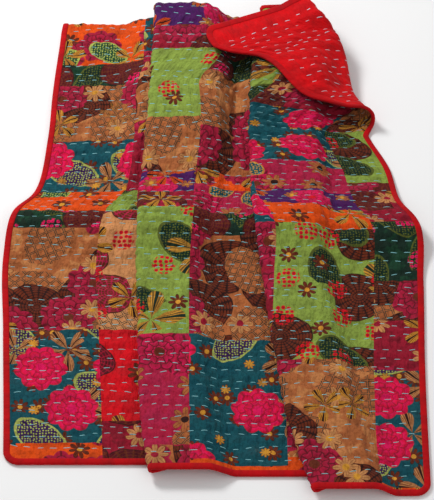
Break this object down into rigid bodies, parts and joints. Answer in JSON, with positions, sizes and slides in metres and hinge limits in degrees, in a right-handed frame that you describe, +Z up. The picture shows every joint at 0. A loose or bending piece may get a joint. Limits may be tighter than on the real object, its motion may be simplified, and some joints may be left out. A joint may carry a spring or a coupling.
{
  "type": "kantha quilt",
  "caption": "Patchwork kantha quilt laid out in two lengthwise pleats, with the top end folded under and one corner turned over to show the backing.",
  "frame": {"origin": "bottom centre of the bounding box of the quilt as it is laid out", "axes": "+Y along the quilt's length, from the bottom hem to the end that is folded under; +X to the right; +Z up"},
  "size_m": [0.8498, 1.2782, 0.0912],
  "materials": {
    "patchwork": "printed cotton patches with running stitches",
    "backing": "plain red cotton with running stitches",
    "binding": "plain red cotton strip"
  },
  "bodies": {
    "root": {"quilt_top": "patchwork", "quilt_backing": "backing", "binding": "binding"}
  },
  "joints": []
}
